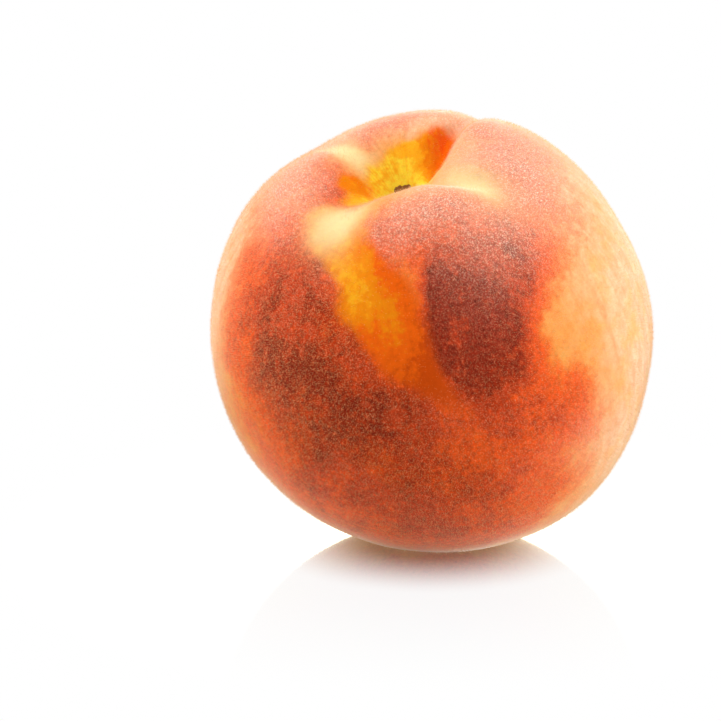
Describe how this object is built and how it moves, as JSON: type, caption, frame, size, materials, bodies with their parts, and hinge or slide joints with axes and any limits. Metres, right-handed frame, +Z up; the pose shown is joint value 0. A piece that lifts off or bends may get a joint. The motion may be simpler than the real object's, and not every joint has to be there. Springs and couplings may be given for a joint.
{
  "type": "peach",
  "caption": "Whole ripe peach with a stub of its stalk in the stem cavity, lying on a small flat spot with the stem end leaning forward.",
  "frame": {"origin": "on the surface the peach rests on, under the middle of its bounding box", "axes": "+Z up; the stem end leans 20 degrees from the vertical towards -Y and a little towards -X; +X is to the right when the stem cavity faces the viewer"},
  "size_m": [0.076, 0.076, 0.075],
  "materials": {
    "skin": "downy peach skin: yellow to cream ground with red blush, matt, with a short pale fuzz",
    "stalk": "dry dark brown woody stub, rough and broken at the top"
  },
  "bodies": {
    "root": {"fruit": "skin", "stem_stub": "stalk"}
  },
  "joints": []
}
